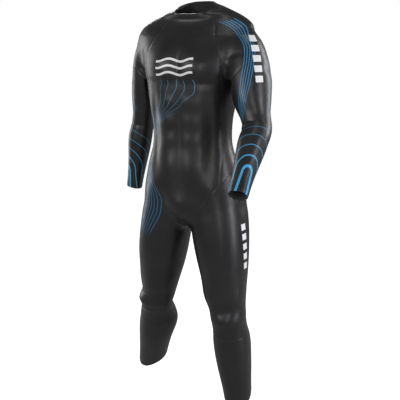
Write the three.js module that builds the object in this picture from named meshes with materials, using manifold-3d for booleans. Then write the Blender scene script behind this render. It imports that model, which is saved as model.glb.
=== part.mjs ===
// A full-length neoprene swimming wetsuit, standing as if worn: panels of a hollow skin with
// a back zip and a closed collar. +X is the wearer's left, the front faces -Y and +Z is up.
// Lengths are millimetres and heights in the tables are above the wearer's floor.
import * as THREE from "three";
import { mergeVertices } from "three/addons/utils/BufferGeometryUtils.js";
import Module from "manifold-3d";

const wasm = await Module();
wasm.setup();

// Driving dimensions
const bodySkin = 5;
const sleeveSkin = 3;
const seamGap = 0.4;
const roundness = 2.2;
const ringSides = 20;

const crotchHeight = 812;
const neckHeight = 1520;
const neckForward = -20;
const neckTilt = 22;
const neckHalfWidth = 66;
const neckHalfDepth = 62;
const collarHeight = 30;
const bindingHeight = 4;

const chestHalfWidth = 160;
const waistHalfWidth = 141;
const hipHalfWidth = 168;
const chestDepth = 118;
const waistDepth = 100;
const seatDepth = 126;

const shoulderHeight = 1418;
const armpitBelowShoulder = 128;
const armpitFromChest = 4;
const shoulderFromArmpit = 14;
const armSideLean = 1.7;
const shoulderBehind = 10;
const shoulderCapRadius = 36;
const shoulderCapInward = 16;
const shoulderCapRise = 22;
const shoulderCapBehind = 4;
const handHeight = 888;
const upperArm = 295;
const forearm = 235;
const shoulderRadius = 56;
const bicepsRadius = 51;
const elbowRadius = 42;
const forearmRadius = 41;
const wristRadius = 30;

const hipPivotHeight = 880;
const hipPivotFromMiddle = 88;
const hipBehind = 2;
const thighLength = 385;
const shinLength = 300;
const thighRadius = 90;
const kneeRadius = 56;
const calfRadius = 58;
const ankleRadius = 45;

const sideSeamFromMiddle = 130;
const frontSeamBehind = 15;
const waistSeamHeight = 1150;
const lowerBackSeamHeight = 1085;
const seatSeamHeight = 975;
const raglanAtNeck = 78;
const armholeTilt = 44;
const groinTilt = 50;
const gussetHalfWidth = 42;
const shoulderFlexLength = 80;
const underarmWidth = 26;
const elbowFlexReach = 44;
const hipFlexLength = 130;
const kneeFlexReach = 62;
const cuffLength = 24;
const hemLength = 12;
const hemSlant = 0.6;

const zipLength = 355;
const zipTopHeight = 1478;
const zipBehindAtBottom = 84;
const zipBehindAtTop = 110;
const tapeWidth = 14.6;
const tapeThickness = 1.4;
const tapeFromTeeth = 1.4;
const toothPitch = 8;
const toothWidth = 2.2;
const toothReach = 4.4;
const teethThickness = 2.6;
const teethSpine = 0.9;
const teethFromTop = 1;
const firstTooth = 1;
const topStopSize = [4, 3.2, 3.4];
const bottomStopSize = [9, 3.4, 4];
const topStopFromMiddle = 0.6;
const sliderLength = 16;
const sliderHalfWidth = 7.5;
const sliderPlate = 1.8;
const sliderBelowTop = 2;
const sliderLip = 1.6;
const lugHeight = 5;
const lugLength = 5;
const lugAboveMiddle = 3;
const weldDepth = 0.4;
const pullLength = 30;
const pullWidth = 9;
const pullThickness = 2;
const pullShoulder = 2;
const pullNeckLength = 4;
const pullTaper = 3;
const pullAbovePivot = 2.2;
const pivotAbovePlate = 2.8;
const pullHoleRadius = 2.2;
const flapHalfWidth = 32;
const flapThickness = 1.6;
const flapBelowZip = 4;
const flapClearance = 2;
const channelBelowZip = 6;
const runningGap = 0.35;

const tabLength = 68;
const tabThickness = 2.4;
const patchThickness = 1;
const patchInset = 4;
const patchStart = 6;
const patchEdge = 2;
const loopInset = 5;
const hookInset = 6;
const tabInset = 3.5;
const tabRoot = 8;
const collarSplit = 2.4;

// How far cutting forms run past what they cut
const openEndOverrun = 20;
const columnOverrun = 10;
const cuffOverrun = 5;
const hemOverrun = 60;
const hemOpening = 90;
const channelDepth = 60;
const channelAboveZip = 40;
const splitReach = [80, 120];

// Colours
const skinBlack = 0x1c1c1f;
const panelBlack = 0x232326;
const flexNavy = 0x1b2230;
const liningGrey = 0x2c2c30;
const zipBlack = 0x111113;
const sliderGrey = 0x35363a;

const radians = THREE.MathUtils.degToRad;
const vector = (x, y, z) => new THREE.Vector3(x, y, z);
const sideways = vector(1, 0, 0);
const toFront = vector(0, -1, 0);
const armpitX = chestHalfWidth + armpitFromChest;
const armpitHeight = shoulderHeight - armpitBelowShoulder;
const collarUp = vector(0, -Math.sin(radians(neckTilt)), Math.cos(radians(neckTilt)));
const neckCentre = vector(0, -neckForward, neckHeight);
const collarBase = neckCentre.clone().addScaledVector(collarUp, -collarHeight);

// The zip lies on a straight line down the back
const zipTop = vector(0, zipBehindAtTop, zipTopHeight);
const zipBottom = vector(0, zipBehindAtBottom, zipTopHeight - zipLength);
const zipLean = Math.atan2(zipTop.y - zipBottom.y, zipTop.z - zipBottom.z);
const backAt = (height) =>
  THREE.MathUtils.mapLinear(height, zipBottom.z, zipTop.z, zipBottom.y, zipTop.y);

// Stations of the torso: height, centre depth, half width, front, back and tilt of the ring
const onZip = (height, centre, half, front, tilt) =>
  [height, centre, half, front, backAt(height) - centre, tilt];
const torsoStations = [
  [crotchHeight, 12, 55, 42, 52, 0],
  [crotchHeight + 24, 10, 118, 80, 98, 0],
  [crotchHeight + 68, 5, hipHalfWidth - 6, 100, seatDepth, 0],
  [crotchHeight + 118, 2, hipHalfWidth, 104, seatDepth - 2, 0],
  [crotchHeight + 188, -2, hipHalfWidth - 9, 102, 112, 0],
  [crotchHeight + 278, -4, waistHalfWidth, waistDepth, zipBehindAtBottom + 3, 0],
  onZip(crotchHeight + 348, -4, waistHalfWidth + 1, waistDepth + 3, 0),
  onZip(crotchHeight + 428, -1, chestHalfWidth - 9, chestDepth - 6, 0),
  onZip(crotchHeight + 503, 2, chestHalfWidth, chestDepth + 4, 0),
  onZip(crotchHeight + 560, 6, chestHalfWidth + 10, chestDepth - 4, 0),
  onZip(crotchHeight + 603, 12, chestHalfWidth + 10, chestDepth - 24, 2),
  onZip(crotchHeight + 640, 20, chestHalfWidth - 4, chestDepth - 46, 8),
  [crotchHeight + 668, 28, neckHalfWidth + 42, neckHalfDepth + 4, neckHalfDepth + 14, 15],
];

// Stations of a limb: share of the bone, sideways, front and back radius
const upperArmRings = [
  [0.06, shoulderRadius - 4, shoulderRadius + 2, shoulderRadius + 2],
  [0.3, shoulderRadius, shoulderRadius + 5, shoulderRadius + 3],
  [0.62, bicepsRadius - 2, bicepsRadius + 5, bicepsRadius],
  [0.88, elbowRadius + 2, elbowRadius + 4, elbowRadius + 4],
];
const forearmRings = [
  [0.12, elbowRadius, elbowRadius + 4, elbowRadius + 3],
  [0.36, forearmRadius, forearmRadius + 2, forearmRadius],
  [0.7, forearmRadius - 6, forearmRadius - 6, forearmRadius - 7],
  [1, wristRadius + 1, wristRadius - 2, wristRadius - 2],
];
const thighRings = [
  [-0.16, thighRadius - 30, thighRadius - 14, thighRadius],
  [-0.02, thighRadius - 9, thighRadius - 2, thighRadius + 16],
  [0.14, thighRadius, thighRadius, thighRadius + 12],
  [0.5, thighRadius - 14, thighRadius - 12, thighRadius - 12],
  [0.8, kneeRadius + 7, kneeRadius + 10, kneeRadius + 4],
  [0.95, kneeRadius, kneeRadius + 5, kneeRadius],
];
const shinRings = [
  [0.06, kneeRadius - 1, kneeRadius + 3, kneeRadius],
  [0.3, calfRadius, calfRadius - 6, calfRadius + 10],
  [0.62, calfRadius - 4, calfRadius - 9, calfRadius + 2],
  [1, ankleRadius + 1, ankleRadius + 1, ankleRadius + 1],
];

// Each limb's pose: unit directions of the two bones, from the shoulder and from the hip
const limbPoses = {
  left: {
    side: 1,
    upper: vector(0.229, -0.377, -0.898).normalize(),
    lower: vector(0.116, -0.655, -0.746).normalize(),
    thigh: vector(0.092, 0.01, -0.996).normalize(),
    shin: vector(0.066, 0.118, -0.99).normalize(),
    turnOut: 10,
  },
  right: {
    side: -1,
    upper: vector(-0.235, 0.156, -0.959).normalize(),
    lower: vector(-0.139, 0.082, -0.987).normalize(),
    thigh: vector(-0.184, 0.123, -0.976).normalize(),
    shin: vector(-0.247, 0.318, -0.916).normalize(),
    turnOut: 48,
  },
};

// A point of a ring: a rounded square of half width a and depth b, or c behind
function ringPoint(ring, share, shrink) {
  const angle = 2 * Math.PI * share;
  const across = Math.cos(angle);
  const ahead = Math.sin(angle);
  const round = (value) => Math.sign(value) * Math.abs(value) ** (2 / roundness);
  const depth = ahead > 0 ? ring.front : ring.back;
  return ring.centre
    .clone()
    .addScaledVector(ring.across, round(across) * (ring.half - shrink))
    .addScaledVector(ring.ahead, round(ahead) * (depth - shrink));
}

// A closed solid through rings, each a loop of points, with flat ends
function loft(rings, shrink) {
  const points = [];
  const faces = [];
  const count = rings.length;
  rings.forEach((ring) => {
    for (let i = 0; i < ringSides; i += 1) points.push(ringPoint(ring, i / ringSides, shrink));
  });
  for (let level = 0; level < count - 1; level += 1) {
    for (let i = 0; i < ringSides; i += 1) {
      const next = (i + 1) % ringSides;
      const a = level * ringSides + i;
      const b = level * ringSides + next;
      const c = a + ringSides;
      const d = b + ringSides;
      faces.push(a, b, d, a, d, c);
    }
  }
  [0, count - 1].forEach((level) => {
    const middle = points.length;
    points.push(rings[level].centre.clone());
    for (let i = 0; i < ringSides; i += 1) {
      const a = level * ringSides + i;
      const b = level * ringSides + ((i + 1) % ringSides);
      if (level === 0) faces.push(middle, b, a);
      else faces.push(middle, a, b);
    }
  });
  const geometry = new THREE.BufferGeometry().setFromPoints(points);
  geometry.setIndex(faces);
  return solidOf(geometry);
}

// A closed three.js geometry as a solid for cutting and joining
function solidOf(geometry) {
  const bare = geometry.clone();
  bare.deleteAttribute("normal");
  bare.deleteAttribute("uv");
  const merged = mergeVertices(bare, 1e-4);
  const made = new wasm.Manifold(
    new wasm.Mesh({
      numProp: 3,
      vertProperties: Float32Array.from(merged.attributes.position.array),
      triVerts: Uint32Array.from(merged.index.array),
    }),
  );
  return made.volume() < 0 ? turnedOut(merged) : made;
}

function turnedOut(geometry) {
  const faces = Uint32Array.from(geometry.index.array);
  for (let i = 0; i < faces.length; i += 3) {
    [faces[i + 1], faces[i + 2]] = [faces[i + 2], faces[i + 1]];
  }
  const vertProperties = Float32Array.from(geometry.attributes.position.array);
  return new wasm.Manifold(new wasm.Mesh({ numProp: 3, vertProperties, triVerts: faces }));
}

function geometryOf(solid) {
  const mesh = solid.getMesh();
  const geometry = new THREE.BufferGeometry();
  geometry.setAttribute("position", new THREE.BufferAttribute(mesh.vertProperties, 3));
  geometry.setIndex(new THREE.BufferAttribute(mesh.triVerts, 1));
  geometry.computeVertexNormals();
  return geometry;
}

// A seam plane through a point; its normal points at what lies beyond it
const seam = (point, normal) => {
  const unit = normal.clone().normalize();
  return { normal: unit, offset: unit.dot(point) };
};
const flipped = (plane) => ({ normal: plane.normal.clone().negate(), offset: -plane.offset });
const moved = (plane, distance) => ({ normal: plane.normal, offset: plane.offset + distance });

// What lies beyond every given seam, half a seam gap back from each
function beyond(solid, ...planes) {
  return planes.reduce(
    (rest, plane) => rest.trimByPlane(plane.normal.toArray(), plane.offset + seamGap / 2),
    solid,
  );
}

// What is left when the wedge beyond all the given seams is taken away
function outside(solid, ...planes) {
  return planes
    .map((plane) => beyond(solid, flipped(plane)))
    .reduce((joined, part) => joined.add(part));
}

const tiltedAhead = (tilt) => vector(0, -Math.cos(radians(tilt)), -Math.sin(radians(tilt)));

// A ring of the collar, so far up from its seam
const neckRing = (rise) => ({
  centre: collarBase.clone().addScaledVector(collarUp, rise),
  across: sideways,
  ahead: tiltedAhead(neckTilt),
  half: neckHalfWidth,
  front: neckHalfDepth,
  back: neckHalfDepth,
});

// Rings of the torso; the inner ones start a skin's thickness up and run out of the neck
function torsoRings(inward) {
  const rings = torsoStations.map(([height, centre, half, front, back, tilt]) => ({
    centre: vector(0, centre, height),
    across: sideways,
    ahead: tiltedAhead(tilt),
    half,
    front,
    back,
  }));
  rings.push(neckRing(0), neckRing(collarHeight + (inward ? openEndOverrun : 0)));
  if (inward) rings[0].centre.z += inward;
  return rings;
}

// Level direction that faces ahead, turned towards +X by an angle
const facingOut = (turn) => vector(Math.sin(radians(turn)), -Math.cos(radians(turn)), 0);

// The joints of a limb
function limbAt(start, first, firstLength, second, secondLength, turn) {
  const bend = start.clone().addScaledVector(first, firstLength);
  const end = bend.clone().addScaledVector(second, secondLength);
  return { start, first, firstLength, bend, second, secondLength, end, turn };
}

// Rings face ahead at the top and turn out along the first bone
function limbRings(limb, firstRows, secondRows, overrun) {
  const ringAt = (origin, direction, length, turned, [share, half, front, back]) => {
    const facing = facingOut(limb.turn * (turned ?? share));
    const ahead = facing.addScaledVector(direction, -facing.dot(direction)).normalize();
    const across = ahead.clone().cross(direction).normalize();
    const centre = origin.clone().addScaledVector(direction, share * length);
    return { centre, across, ahead, half, front, back };
  };
  const rings = [
    ...firstRows.map((row) => ringAt(limb.start, limb.first, limb.firstLength, null, row)),
    ...secondRows.map((row) => ringAt(limb.bend, limb.second, limb.secondLength, 1, row)),
  ];
  const last = rings[rings.length - 1];
  rings.push({ ...last, centre: last.centre.clone().addScaledVector(limb.second, overrun) });
  return rings;
}

// The same rings with the closed top let in by the skin's thickness
function sunk([top, ...rest], direction, depth) {
  return [{ ...top, centre: top.centre.clone().addScaledVector(direction, depth) }, ...rest];
}

function makeArm(pose) {
  const shoulderX = pose.side * (armpitX + shoulderFromArmpit);
  const shoulder = vector(shoulderX, shoulderBehind, shoulderHeight);
  const limb = limbAt(shoulder, pose.upper, upperArm, pose.lower, forearm, 0);
  const topCap = {
    ...limbRings(limb, upperArmRings, forearmRings, 0)[0],
    centre: vector(
      shoulderX - pose.side * shoulderCapInward,
      shoulderBehind + shoulderCapBehind,
      shoulderHeight + shoulderCapRise,
    ),
    half: shoulderCapRadius,
    front: shoulderCapRadius,
    back: shoulderCapRadius,
  };
  const rings = (overrun) => [topCap, ...limbRings(limb, upperArmRings, forearmRings, overrun)];
  const inner = sunk(rings(openEndOverrun), pose.upper, sleeveSkin);
  return { ...limb, outer: loft(rings(cuffOverrun), 0), inner: loft(inner, sleeveSkin) };
}

function makeLeg(pose) {
  const hip = vector(pose.side * hipPivotFromMiddle, hipBehind, hipPivotHeight);
  const turn = pose.side * pose.turnOut;
  const limb = limbAt(hip, pose.thigh, thighLength, pose.shin, shinLength, turn);
  const rings = (overrun) => limbRings(limb, thighRings, shinRings, overrun);
  const inner = sunk(rings(hemOpening), pose.thigh, bodySkin);
  return { ...limb, outer: loft(rings(hemOverrun), 0), inner: loft(inner, bodySkin) };
}

const limbs = Object.fromEntries(
  Object.entries(limbPoses).map(([name, pose]) => [
    name,
    { ...pose, arm: makeArm(pose), leg: makeLeg(pose) },
  ]),
);
const allLimbs = Object.values(limbs);
const joinAll = (solids) => solids.reduce((joined, solid) => joined.add(solid));
const outerForm = joinAll([
  loft(torsoRings(0), 0),
  ...allLimbs.flatMap((l) => [l.arm.outer, l.leg.outer]),
]);
const innerForm = joinAll([
  loft(torsoRings(bodySkin), bodySkin),
  ...allLimbs.flatMap((l) => [l.arm.inner, l.leg.inner]),
]);
const skin = outerForm.subtract(innerForm);

const suit = new THREE.Group();
suit.position.copy(neckCentre).negate();
const group = new THREE.Group();
group.add(suit);

function addMesh(parent, name, geometry, color, roughness = 0.5, metalness = 0) {
  const material = new THREE.MeshStandardMaterial({ color, roughness, metalness });
  const mesh = new THREE.Mesh(geometry, material);
  mesh.name = name;
  parent.add(mesh);
  return mesh;
}
const addPanel = (name, solid, color, roughness) =>
  addMesh(suit, name, geometryOf(solid), color, roughness);

// Seam planes of one side of the suit
function seamsOf(limb) {
  const { side, arm, leg } = limb;
  const outward = vector(side, 0, 0);
  const armpit = vector(side * armpitX, 0, armpitHeight);
  const crotch = vector(0, 0, crotchHeight);
  const leaning = (tilt) => vector(side * Math.sin(radians(tilt)), 0, -Math.cos(radians(tilt)));
  const armhole = seam(armpit, leaning(armholeTilt));
  const groin = seam(crotch, leaning(groinTilt));
  return {
    armhole,
    armSide: seam(armpit, leaning(armSideLean + 90)),
    aboveHand: seam(vector(0, 0, handHeight), vector(0, 0, 1)),
    groin,
    middle: seam(vector(0, 0, 0), outward),
    raglan: seam(
      vector(side * raglanAtNeck, 0, collarBase.z),
      vector(side * (collarBase.z - armpitHeight), 0, armpitX - raglanAtNeck),
    ),
    sideSeam: seam(vector(side * sideSeamFromMiddle, 0, 0), outward),
    shoulderFlexEnd: moved(armhole, shoulderFlexLength),
    elbowFlexStart: seam(arm.bend.clone().addScaledVector(arm.first, -elbowFlexReach), arm.first),
    elbowFlexEnd: seam(arm.bend.clone().addScaledVector(arm.second, elbowFlexReach), arm.second),
    cuffStart: seam(arm.end.clone().addScaledVector(arm.second, -cuffLength), arm.second),
    cuffEnd: seam(arm.end, arm.second),
    hipFlexEnd: moved(groin, hipFlexLength),
    kneeFlexStart: seam(leg.bend.clone().addScaledVector(leg.first, -kneeFlexReach), leg.first),
    kneeFlexEnd: seam(leg.bend.clone().addScaledVector(leg.second, kneeFlexReach), leg.second),
  };
}

// A plane that holds a limb's bone and faces the given way
function alongBone(origin, direction, facing) {
  const across = facing.clone().addScaledVector(direction, -facing.dot(direction));
  return seam(origin, across);
}

// Sleeve panels from the armhole to the cuff
function addSleeve(name, limb, seams) {
  const { arm, side } = limb;
  const sleeve = beyond(skin, seams.armhole, seams.armSide, seams.aboveHand);
  const outward = vector(side, 0, 0);
  const between = (from, to) => beyond(sleeve, from, flipped(to));
  const upperSplit = alongBone(arm.bend, arm.first, outward);
  const lowerSplit = alongBone(arm.bend, arm.second, outward);
  const flex = between(seams.armhole, seams.shoulderFlexEnd);
  const upper = between(seams.shoulderFlexEnd, seams.elbowFlexStart);
  const lower = between(seams.elbowFlexEnd, seams.cuffStart);
  const underarm = seam(vector(side * (armpitX + underarmWidth), 0, 0), outward);
  addPanel(`${name}_shoulder_flex_panel`, beyond(flex, underarm), flexNavy);
  addPanel(`${name}_underarm_gusset`, beyond(flex, flipped(underarm)), panelBlack);
  addPanel(`${name}_upper_sleeve_outer_panel`, beyond(upper, upperSplit), skinBlack);
  addPanel(`${name}_upper_sleeve_inner_panel`, beyond(upper, flipped(upperSplit)), flexNavy);
  addPanel(`${name}_elbow_flex_panel`, between(seams.elbowFlexStart, seams.elbowFlexEnd), panelBlack);
  addPanel(`${name}_forearm_outer_panel`, beyond(lower, lowerSplit), skinBlack);
  addPanel(`${name}_forearm_inner_panel`, beyond(lower, flipped(lowerSplit)), flexNavy);
  addPanel(`${name}_wrist_cuff`, between(seams.cuffStart, seams.cuffEnd), skinBlack);
}

// Leg panels from the groin to the hem, which is cut low in front and high behind
function addLeg(name, limb, seams) {
  const { leg } = limb;
  const legOnly = outside(skin, seams.armhole, seams.armSide, seams.aboveHand);
  const whole = beyond(legOnly, seams.groin, seams.middle);
  const between = (from, to) => beyond(whole, from, flipped(to));
  const hemEnd = hemPlane(limb);
  const hemStart = moved(hemEnd, -hemLength);
  const facing = facingOut(leg.turn);
  const thighSplit = alongBone(leg.bend, leg.first, facing);
  const shinSplit = alongBone(leg.bend, leg.second, facing);
  const thigh = between(seams.hipFlexEnd, seams.kneeFlexStart);
  const shin = between(seams.kneeFlexEnd, hemStart);
  addPanel(`${name}_hip_flex_panel`, between(seams.groin, seams.hipFlexEnd), panelBlack);
  addPanel(`${name}_thigh_front_panel`, beyond(thigh, thighSplit), skinBlack);
  addPanel(`${name}_thigh_back_panel`, beyond(thigh, flipped(thighSplit)), panelBlack);
  addPanel(`${name}_knee_flex_panel`, between(seams.kneeFlexStart, seams.kneeFlexEnd), panelBlack);
  addPanel(`${name}_shin_panel`, beyond(shin, shinSplit), skinBlack);
  addPanel(`${name}_calf_panel`, beyond(shin, flipped(shinSplit)), panelBlack);
  addPanel(`${name}_leg_hem`, between(hemStart, hemEnd), skinBlack);
}

function hemPlane({ leg }) {
  return seam(leg.end, leg.second.clone().addScaledVector(facingOut(leg.turn), -hemSlant));
}

// Body panels between the raglan, side, waist and groin seams
function addTorso(left, right) {
  const allSeams = [left, right];
  const collarSeam = seam(collarBase, collarUp);
  const trunk = allSeams.reduce(
    (rest, s) => outside(outside(rest, s.armhole, s.armSide, s.aboveHand), s.groin, s.middle),
    beyond(skin, flipped(collarSeam)),
  );
  const neckBand = beyond(skin, collarSeam, flipped(seam(neckCentre, collarUp)));
  const middlePart = beyond(
    trunk,
    ...allSeams.flatMap((s) => [flipped(s.raglan), flipped(s.sideSeam)]),
  );
  const frontSeam = seam(vector(0, frontSeamBehind, 0), toFront);
  const waist = seam(vector(0, 0, waistSeamHeight), vector(0, 0, 1));
  const lowerBack = seam(vector(0, 0, lowerBackSeamHeight), vector(0, 0, 1));
  const seat = seam(vector(0, 0, seatSeamHeight), vector(0, 0, 1));
  const gusset = seam(vector(0, 0, crotchHeight + gussetHalfWidth), vector(0, 0, -1));
  const front = beyond(middlePart, frontSeam);
  const back = beyond(middlePart, flipped(frontSeam)).subtract(zipChannel());
  addPanel("chest_panel", beyond(front, waist), skinBlack);
  addPanel("abdomen_panel", beyond(front, flipped(waist), flipped(gusset)), skinBlack);
  addPanel("crotch_gusset", beyond(middlePart, gusset), panelBlack);
  addPanel("left_upper_back_panel", beyond(back, lowerBack, left.middle), skinBlack);
  addPanel("right_upper_back_panel", beyond(back, lowerBack, right.middle), skinBlack);
  addPanel("lower_back_panel", beyond(back, flipped(lowerBack), seat), panelBlack);
  addPanel("seat_panel", beyond(back, flipped(seat), flipped(gusset)), skinBlack);
  [["left", left], ["right", right]].forEach(([name, s]) => {
    const flank = beyond(trunk, s.sideSeam, flipped(s.raglan));
    addPanel(`${name}_side_panel`, flank, panelBlack);
    addPanel(`${name}_shoulder_panel`, beyond(trunk, s.raglan), flexNavy);
  });
  addCollar(neckBand);
}

// Boxes and plates, placed in the suit's frame or in the zip's
function boxSolid(size, centre, place) {
  const geometry = new THREE.BoxGeometry(...size);
  geometry.translate(...centre);
  if (place) geometry.applyMatrix4(place);
  return solidOf(geometry);
}

// The zip's own frame: z runs up the zip from its bottom and y points out of the back
const zipFrame = new THREE.Matrix4()
  .makeTranslation(zipBottom.x, zipBottom.y - bodySkin / 2, zipBottom.z)
  .multiply(new THREE.Matrix4().makeRotationX(-zipLean));
const spineOuter = toothReach / 2 + tapeFromTeeth - seamGap;
const tapeOuter = toothReach / 2 + tapeFromTeeth + tapeWidth;
const zipRun = Math.hypot(zipTop.y - zipBottom.y, zipTop.z - zipBottom.z);

// A slot for the tapes, and more room under it for the flap
function zipChannel() {
  const top = zipRun + channelAboveZip;
  const slot = boxSolid(
    [2 * (tapeOuter + seamGap), channelDepth, top + channelBelowZip],
    [0, 0, (top - channelBelowZip) / 2],
    zipFrame,
  );
  const flapRoom = boxSolid(
    [2 * (flapHalfWidth + flapClearance), channelDepth, top + 2 * channelBelowZip],
    [0, -(bodySkin + channelDepth) / 2, (top - 2 * channelBelowZip) / 2],
    zipFrame,
  );
  return slot.add(flapRoom);
}

// One row of teeth: a spine with a tooth at each pitch, cut from a flat strip
function teethGeometry(side, offset) {
  const spineInner = spineOuter - teethSpine;
  const outline = new THREE.Shape();
  outline.moveTo(spineOuter, 0);
  const count = Math.floor((zipRun - toothPitch) / toothPitch);
  outline.lineTo(spineInner, 0);
  for (let i = 0; i < count; i += 1) {
    const low = offset + i * toothPitch;
    outline.lineTo(spineInner, low);
    outline.lineTo(-toothReach / 2, low);
    outline.lineTo(-toothReach / 2, low + toothWidth);
    outline.lineTo(spineInner, low + toothWidth);
  }
  outline.lineTo(spineInner, zipRun - teethFromTop);
  outline.lineTo(spineOuter, zipRun - teethFromTop);
  const geometry = new THREE.ExtrudeGeometry(outline, { depth: teethThickness, bevelEnabled: false });
  geometry.translate(0, 0, -teethThickness / 2);
  geometry.rotateX(Math.PI / 2);
  if (side < 0) geometry.rotateZ(Math.PI);
  return geometryOf(solidOf(geometry));
}

function addZip() {
  const zip = new THREE.Group();
  zip.applyMatrix4(zipFrame);
  suit.add(zip);
  const tapeX = tapeOuter - tapeWidth / 2;
  const halfPitch = toothPitch / 2;
  [["left", 1, firstTooth], ["right", -1, firstTooth + halfPitch]].forEach(([name, side, offset]) => {
    const tape = addMesh(
      zip,
      `zip_tape_${name}`,
      new THREE.BoxGeometry(tapeWidth, tapeThickness, zipRun),
      zipBlack,
      0.8,
    );
    tape.position.set(side * tapeX, 0, zipRun / 2);
    addMesh(zip, `zip_teeth_${name}`, teethGeometry(side, offset), zipBlack);
    const stop = addMesh(zip, `zip_top_stop_${name}`, new THREE.BoxGeometry(...topStopSize), zipBlack);
    const stopX = topStopFromMiddle + topStopSize[0] / 2;
    stop.position.set(side * stopX, 0, zipRun + seamGap + topStopSize[2] / 2);
  });
  const bottomStop = addMesh(zip, "zip_bottom_stop", new THREE.BoxGeometry(...bottomStopSize), zipBlack);
  bottomStop.position.set(0, 0, -seamGap - bottomStopSize[2] / 2);
  const flap = addMesh(
    zip,
    "zip_backing_flap",
    new THREE.BoxGeometry(2 * flapHalfWidth, flapThickness, zipRun + flapBelowZip),
    liningGrey,
    0.8,
  );
  const flapY = -bodySkin / 2 - runningGap - flapThickness / 2;
  flap.position.set(0, flapY, (zipRun - flapBelowZip) / 2);
  addSlider(zip);
}

// The slider's plate rides over the closed teeth, with a lip down each side of them and two
// lugs that hold the pull tab's neck
function addSlider(zip) {
  const plateLow = teethThickness / 2 + runningGap;
  const plateTop = plateLow + sliderPlate;
  const lipHeight = plateLow - tapeThickness / 2 - runningGap;
  const middle = zipRun - sliderLength / 2 - sliderBelowTop;
  const pivot = middle + lugAboveMiddle;
  const half = pullWidth / 2;
  const neck = half - pullShoulder;
  const plate = boxSolid(
    [2 * sliderHalfWidth, sliderPlate, sliderLength],
    [0, plateLow + sliderPlate / 2, middle],
  );
  const lip = (side) =>
    boxSolid(
      [sliderLip, lipHeight + weldDepth, sliderLength],
      [side * (sliderHalfWidth - sliderLip / 2), plateLow + (weldDepth - lipHeight) / 2, middle],
    );
  const lug = (side) =>
    boxSolid(
      [sliderLip, lugHeight + weldDepth, lugLength],
      [side * (neck + seamGap + sliderLip / 2), plateTop + (lugHeight - weldDepth) / 2, pivot],
    );
  const body = joinAll([plate, lip(1), lip(-1), lug(1), lug(-1)]);
  addMesh(zip, "zip_slider", geometryOf(body), sliderGrey, 0.35, 0.8);
  const tip = half - pullLength;
  const shoulderLow = -pullNeckLength - pullTaper;
  const outline = new THREE.Shape();
  outline.moveTo(-neck, pullAbovePivot);
  outline.lineTo(neck, pullAbovePivot);
  outline.lineTo(neck, -pullNeckLength);
  outline.lineTo(half, shoulderLow);
  outline.lineTo(half, tip);
  outline.absarc(0, tip, half, 0, -Math.PI, true);
  outline.lineTo(-half, shoulderLow);
  outline.lineTo(-neck, -pullNeckLength);
  outline.closePath();
  const hole = new THREE.Path();
  hole.absarc(0, tip + 1, pullHoleRadius, 0, 2 * Math.PI, false);
  outline.holes.push(hole);
  const pull = new THREE.ExtrudeGeometry(outline, {
    depth: pullThickness,
    bevelEnabled: false,
    curveSegments: 8,
  });
  pull.rotateX(Math.PI / 2);
  pull.translate(0, plateTop + pivotAbovePlate + pullThickness / 2, pivot);
  addMesh(zip, "zip_pull_tab", geometryOf(solidOf(pull)), zipBlack, 0.4);
}

// The neck column, grown by a distance
function neckColumn(grow) {
  return loft([neckRing(-columnOverrun), neckRing(collarHeight + columnOverrun)], -grow);
}

// Collar band open at the back, its top binding, and the tab that closes it
function addCollar(neckBand) {
  const split = boxSolid(
    [collarSplit, ...splitReach],
    [0, neckCentre.y + neckHalfDepth, neckCentre.z],
  );
  const bindingSeam = seam(neckCentre.clone().addScaledVector(collarUp, -bindingHeight), collarUp);
  addPanel("collar_band", beyond(neckBand, flipped(bindingSeam)).subtract(split), skinBlack);
  addPanel("collar_binding", beyond(neckBand, bindingSeam).subtract(split), panelBlack);
  const layer = (from, to, start, end, inset) => {
    const ring = neckColumn(to).subtract(neckColumn(from));
    const low = seam(collarBase.clone().addScaledVector(collarUp, inset), collarUp);
    const high = seam(neckCentre.clone().addScaledVector(collarUp, -inset), collarUp);
    const fromX = seam(vector(start, 0, 0), sideways);
    const toX = seam(vector(end, 0, 0), sideways);
    const behind = seam(neckCentre, vector(0, 1, 0));
    return beyond(ring, low, flipped(high), fromX, flipped(toX), behind);
  };
  const loopTop = runningGap + patchThickness;
  const hookTop = loopTop + runningGap + patchThickness;
  const tabLow = hookTop + runningGap;
  const tabStart = -tabLength / 2;
  const tabEnd = tabLength / 2;
  const loopPatch = layer(runningGap, loopTop, patchStart, tabEnd + patchEdge, loopInset);
  const hookStart = patchStart + patchInset;
  const hookPatch = layer(loopTop + runningGap, hookTop, hookStart, tabEnd - patchEdge, hookInset);
  addPanel("collar_loop_patch", loopPatch, liningGrey, 0.9);
  addPanel("collar_hook_patch", hookPatch, zipBlack, 0.9);
  const tab = layer(tabLow, tabLow + tabThickness, tabStart, tabEnd, tabInset);
  const root = layer(runningGap, tabLow + tabThickness, tabStart, tabStart + tabRoot, tabInset);
  addPanel("collar_closure_tab", tab.add(root), skinBlack);
}

const seams = { left: seamsOf(limbs.left), right: seamsOf(limbs.right) };
addTorso(seams.left, seams.right);
Object.entries(limbs).forEach(([name, limb]) => {
  addSleeve(name, limb, seams[name]);
  addLeg(name, limb, seams[name]);
});
addZip();

export default group;
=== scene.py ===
import math

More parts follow.
